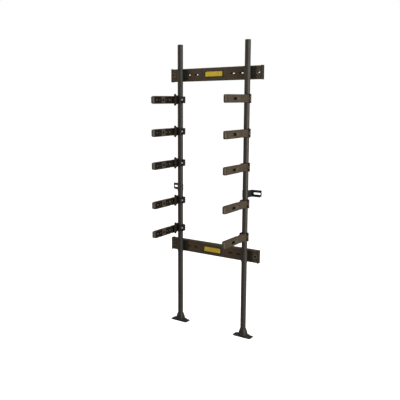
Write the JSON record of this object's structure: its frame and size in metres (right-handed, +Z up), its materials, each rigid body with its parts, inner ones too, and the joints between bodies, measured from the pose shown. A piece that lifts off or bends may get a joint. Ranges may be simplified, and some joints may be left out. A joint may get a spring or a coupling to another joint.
{
  "type": "case storage rack",
  "caption": "Wall-fixed storage rack: round posts on feet, box-section wall rails and fold-out, height-adjustable case brackets.",
  "frame": {"origin": "middle of the rack's box at floor level", "axes": "+Z up, +Y towards the wall, arms point to -Y, X across the two posts"},
  "size_m": [0.656, 0.318, 1.8],
  "materials": {
    "post_paint": "satin powder coat",
    "rail_paint": "satin powder coat",
    "tab_paint": "satin powder coat",
    "arm_plastic": "fine-grained moulding",
    "collar_plastic": "fine-grained moulding",
    "saddle_plastic": "fine-grained moulding",
    "foot_plastic": "fine-grained moulding",
    "cap_plastic": "fine-grained moulding",
    "black_steel": "black oxide",
    "zinc": "bright zinc",
    "badge": "plain yellow badge"
  },
  "bodies": {
    "root": {"post_lower_left": "post_paint", "post_upper_left": "post_paint", "post_coupler_left": "zinc", "post_cap_left": "cap_plastic", "foot_left": "foot_plastic", "wall_tab_left": "tab_paint", "post_lower_right": "post_paint", "post_upper_right": "post_paint", "post_coupler_right": "zinc", "post_cap_right": "cap_plastic", "foot_right": "foot_plastic", "wall_tab_right": "tab_paint", "wall_rail_top": "rail_paint", "rail_end_caps_top": "cap_plastic", "rail_badge_top": "badge", "rail_cover_top": "cap_plastic", "saddle_top_left": "saddle_plastic", "saddle_top_right": "saddle_plastic", "wall_rail_bottom": "rail_paint", "rail_end_caps_bottom": "cap_plastic", "rail_badge_bottom": "badge", "rail_cover_bottom": "cap_plastic", "saddle_bottom_left": "saddle_plastic", "saddle_bottom_right": "saddle_plastic", "saddle_fasteners": "black_steel", "wall_tab_screws": "black_steel"},
    "collar_body_left_1": {"collar_left_1": "collar_plastic", "hardware_left_1": "zinc"},
    "arm_body_left_1": {"arm_left_1": "arm_plastic"},
    "collar_body_left_2": {"collar_left_2": "collar_plastic", "hardware_left_2": "zinc"},
    "arm_body_left_2": {"arm_left_2": "arm_plastic"},
    "collar_body_left_3": {"collar_left_3": "collar_plastic", "hardware_left_3": "zinc"},
    "arm_body_left_3": {"arm_left_3": "arm_plastic"},
    "collar_body_left_4": {"collar_left_4": "collar_plastic", "hardware_left_4": "zinc"},
    "arm_body_left_4": {"arm_left_4": "arm_plastic"},
    "collar_body_left_5": {"collar_left_5": "collar_plastic", "hardware_left_5": "zinc"},
    "arm_body_left_5": {"arm_left_5": "arm_plastic"},
    "collar_body_right_1": {"collar_right_1": "collar_plastic", "hardware_right_1": "zinc"},
    "arm_body_right_1": {"arm_right_1": "arm_plastic"},
    "collar_body_right_2": {"collar_right_2": "collar_plastic", "hardware_right_2": "zinc"},
    "arm_body_right_2": {"arm_right_2": "arm_plastic"},
    "collar_body_right_3": {"collar_right_3": "collar_plastic", "hardware_right_3": "zinc"},
    "arm_body_right_3": {"arm_right_3": "arm_plastic"},
    "collar_body_right_4": {"collar_right_4": "collar_plastic", "hardware_right_4": "zinc"},
    "arm_body_right_4": {"arm_right_4": "arm_plastic"},
    "collar_body_right_5": {"collar_right_5": "collar_plastic", "hardware_right_5": "zinc"},
    "arm_body_right_5": {"arm_right_5": "arm_plastic"}
  },
  "joints": [
    {"name": "height_left_1", "type": "slide", "parent": "root", "child": "collar_body_left_1", "axis": [0, 0, 1], "range_m": [-0.05, 0.05]},
    {"name": "fold_left_1", "type": "hinge", "parent": "collar_body_left_1", "child": "arm_body_left_1", "pos_m": [-0.267, 0.109, 1.462], "axis": [0, 0, -1], "range_deg": [0, 90]},
    {"name": "height_left_2", "type": "slide", "parent": "root", "child": "collar_body_left_2", "axis": [0, 0, 1], "range_m": [-0.05, 0.05]},
    {"name": "fold_left_2", "type": "hinge", "parent": "collar_body_left_2", "child": "arm_body_left_2", "pos_m": [-0.267, 0.109, 1.264], "axis": [0, 0, -1], "range_deg": [0, 90]},
    {"name": "height_left_3", "type": "slide", "parent": "root", "child": "collar_body_left_3", "axis": [0, 0, 1], "range_m": [-0.05, 0.05]},
    {"name": "fold_left_3", "type": "hinge", "parent": "collar_body_left_3", "child": "arm_body_left_3", "pos_m": [-0.267, 0.109, 1.064], "axis": [0, 0, -1], "range_deg": [0, 90]},
    {"name": "height_left_4", "type": "slide", "parent": "root", "child": "collar_body_left_4", "axis": [0, 0, 1], "range_m": [-0.05, 0.02]},
    {"name": "fold_left_4", "type": "hinge", "parent": "collar_body_left_4", "child": "arm_body_left_4", "pos_m": [-0.267, 0.109, 0.821], "axis": [0, 0, -1], "range_deg": [0, 90]},
    {"name": "height_left_5", "type": "slide", "parent": "root", "child": "collar_body_left_5", "axis": [0, 0, 1], "range_m": [-0.04, 0.05]},
    {"name": "fold_left_5", "type": "hinge", "parent": "collar_body_left_5", "child": "arm_body_left_5", "pos_m": [-0.267, 0.109, 0.638], "axis": [0, 0, -1], "range_deg": [0, 90]},
    {"name": "height_right_1", "type": "slide", "parent": "root", "child": "collar_body_right_1", "axis": [0, 0, 1], "range_m": [-0.05, 0.05]},
    {"name": "fold_right_1", "type": "hinge", "parent": "collar_body_right_1", "child": "arm_body_right_1", "pos_m": [0.267, 0.109, 1.465], "axis": [0, 0, 1], "range_deg": [0, 90]},
    {"name": "height_right_2", "type": "slide", "parent": "root", "child": "collar_body_right_2", "axis": [0, 0, 1], "range_m": [-0.05, 0.05]},
    {"name": "fold_right_2", "type": "hinge", "parent": "collar_body_right_2", "child": "arm_body_right_2", "pos_m": [0.267, 0.109, 1.265], "axis": [0, 0, 1], "range_deg": [0, 90]},
    {"name": "height_right_3", "type": "slide", "parent": "root", "child": "collar_body_right_3", "axis": [0, 0, 1], "range_m": [-0.05, 0.05]},
    {"name": "fold_right_3", "type": "hinge", "parent": "collar_body_right_3", "child": "arm_body_right_3", "pos_m": [0.267, 0.109, 1.064], "axis": [0, 0, 1], "range_deg": [0, 90]},
    {"name": "height_right_4", "type": "slide", "parent": "root", "child": "collar_body_right_4", "axis": [0, 0, 1], "range_m": [-0.05, 0.008]},
    {"name": "fold_right_4", "type": "hinge", "parent": "collar_body_right_4", "child": "arm_body_right_4", "pos_m": [0.267, 0.109, 0.843], "axis": [0, 0, 1], "range_deg": [0, 90]},
    {"name": "height_right_5", "type": "slide", "parent": "root", "child": "collar_body_right_5", "axis": [0, 0, 1], "range_m": [-0.04, 0.05]},
    {"name": "fold_right_5", "type": "hinge", "parent": "collar_body_right_5", "child": "arm_body_right_5", "pos_m": [0.267, 0.109, 0.64], "axis": [0, 0, 1], "range_deg": [0, 90]}
  ]
}
